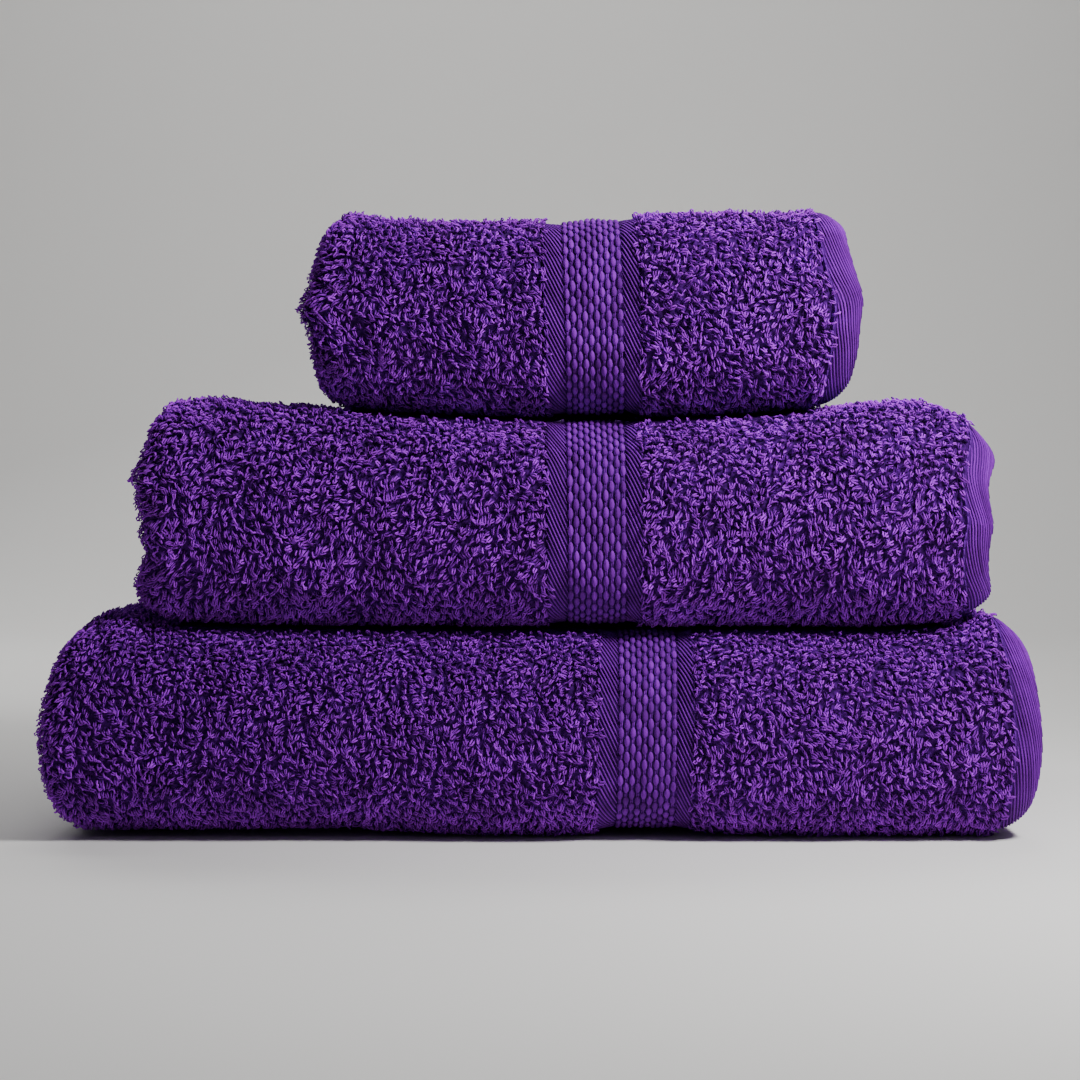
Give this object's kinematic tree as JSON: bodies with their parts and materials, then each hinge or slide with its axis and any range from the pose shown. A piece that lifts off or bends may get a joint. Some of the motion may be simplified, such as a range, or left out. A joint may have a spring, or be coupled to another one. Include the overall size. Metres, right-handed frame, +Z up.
{
  "type": "folded towel stack",
  "caption": "Stack of plain cotton terry towels, each folded with a rounded front fold and a woven border, graded from bath sheet at the bottom to hand towel on top.",
  "frame": {"origin": "middle of the stack's footprint, on the surface that it rests on", "axes": "+Z up, +X to the right along the folded front faces, +Y from the front to the free edges at the back"},
  "size_m": [0.4048, 0.3147, 0.2588],
  "materials": {
    "terry_pile": "looped cotton pile, violet",
    "flat_weave": "flat cotton weave, violet",
    "sewing_thread": "spun thread, violet"
  },
  "bodies": {
    "bath_sheet": {"bath_sheet_terry_field": "terry_pile", "bath_sheet_terry_end_outer": "terry_pile", "bath_sheet_terry_end_inner": "terry_pile", "bath_sheet_border_panel_outer": "flat_weave", "bath_sheet_border_panel_inner": "flat_weave", "bath_sheet_border_twill_outer": "flat_weave", "bath_sheet_border_twill_inner": "flat_weave", "bath_sheet_end_hem_outer": "flat_weave", "bath_sheet_end_hem_inner": "flat_weave", "bath_sheet_side_hem_top": "flat_weave", "bath_sheet_side_hem_tucked": "flat_weave", "bath_sheet_end_hem_thread": "sewing_thread", "bath_sheet_side_hem_thread": "sewing_thread"},
    "bath_towel": {"bath_towel_terry_field": "terry_pile", "bath_towel_terry_end_outer": "terry_pile", "bath_towel_terry_end_inner": "terry_pile", "bath_towel_border_panel_outer": "flat_weave", "bath_towel_border_panel_inner": "flat_weave", "bath_towel_border_twill_outer": "flat_weave", "bath_towel_border_twill_inner": "flat_weave", "bath_towel_end_hem_outer": "flat_weave", "bath_towel_end_hem_inner": "flat_weave", "bath_towel_side_hem_top": "flat_weave", "bath_towel_side_hem_tucked": "flat_weave", "bath_towel_end_hem_thread": "sewing_thread", "bath_towel_side_hem_thread": "sewing_thread"},
    "hand_towel": {"hand_towel_terry_field": "terry_pile", "hand_towel_terry_end_outer": "terry_pile", "hand_towel_terry_end_inner": "terry_pile", "hand_towel_border_panel_outer": "flat_weave", "hand_towel_border_panel_inner": "flat_weave", "hand_towel_border_twill_outer": "flat_weave", "hand_towel_border_twill_inner": "flat_weave", "hand_towel_end_hem_outer": "flat_weave", "hand_towel_end_hem_inner": "flat_weave", "hand_towel_side_hem_top": "flat_weave", "hand_towel_side_hem_tucked": "flat_weave", "hand_towel_end_hem_thread": "sewing_thread", "hand_towel_side_hem_thread": "sewing_thread"}
  },
  "joints": [
    {"name": "bath_towel_lift", "type": "slide", "parent": "bath_sheet", "child": "bath_towel", "axis": [0, 0, 1], "range_m": [0, 0.15]},
    {"name": "hand_towel_lift", "type": "slide", "parent": "bath_towel", "child": "hand_towel", "axis": [0, 0, 1], "range_m": [0, 0.15]}
  ]
}
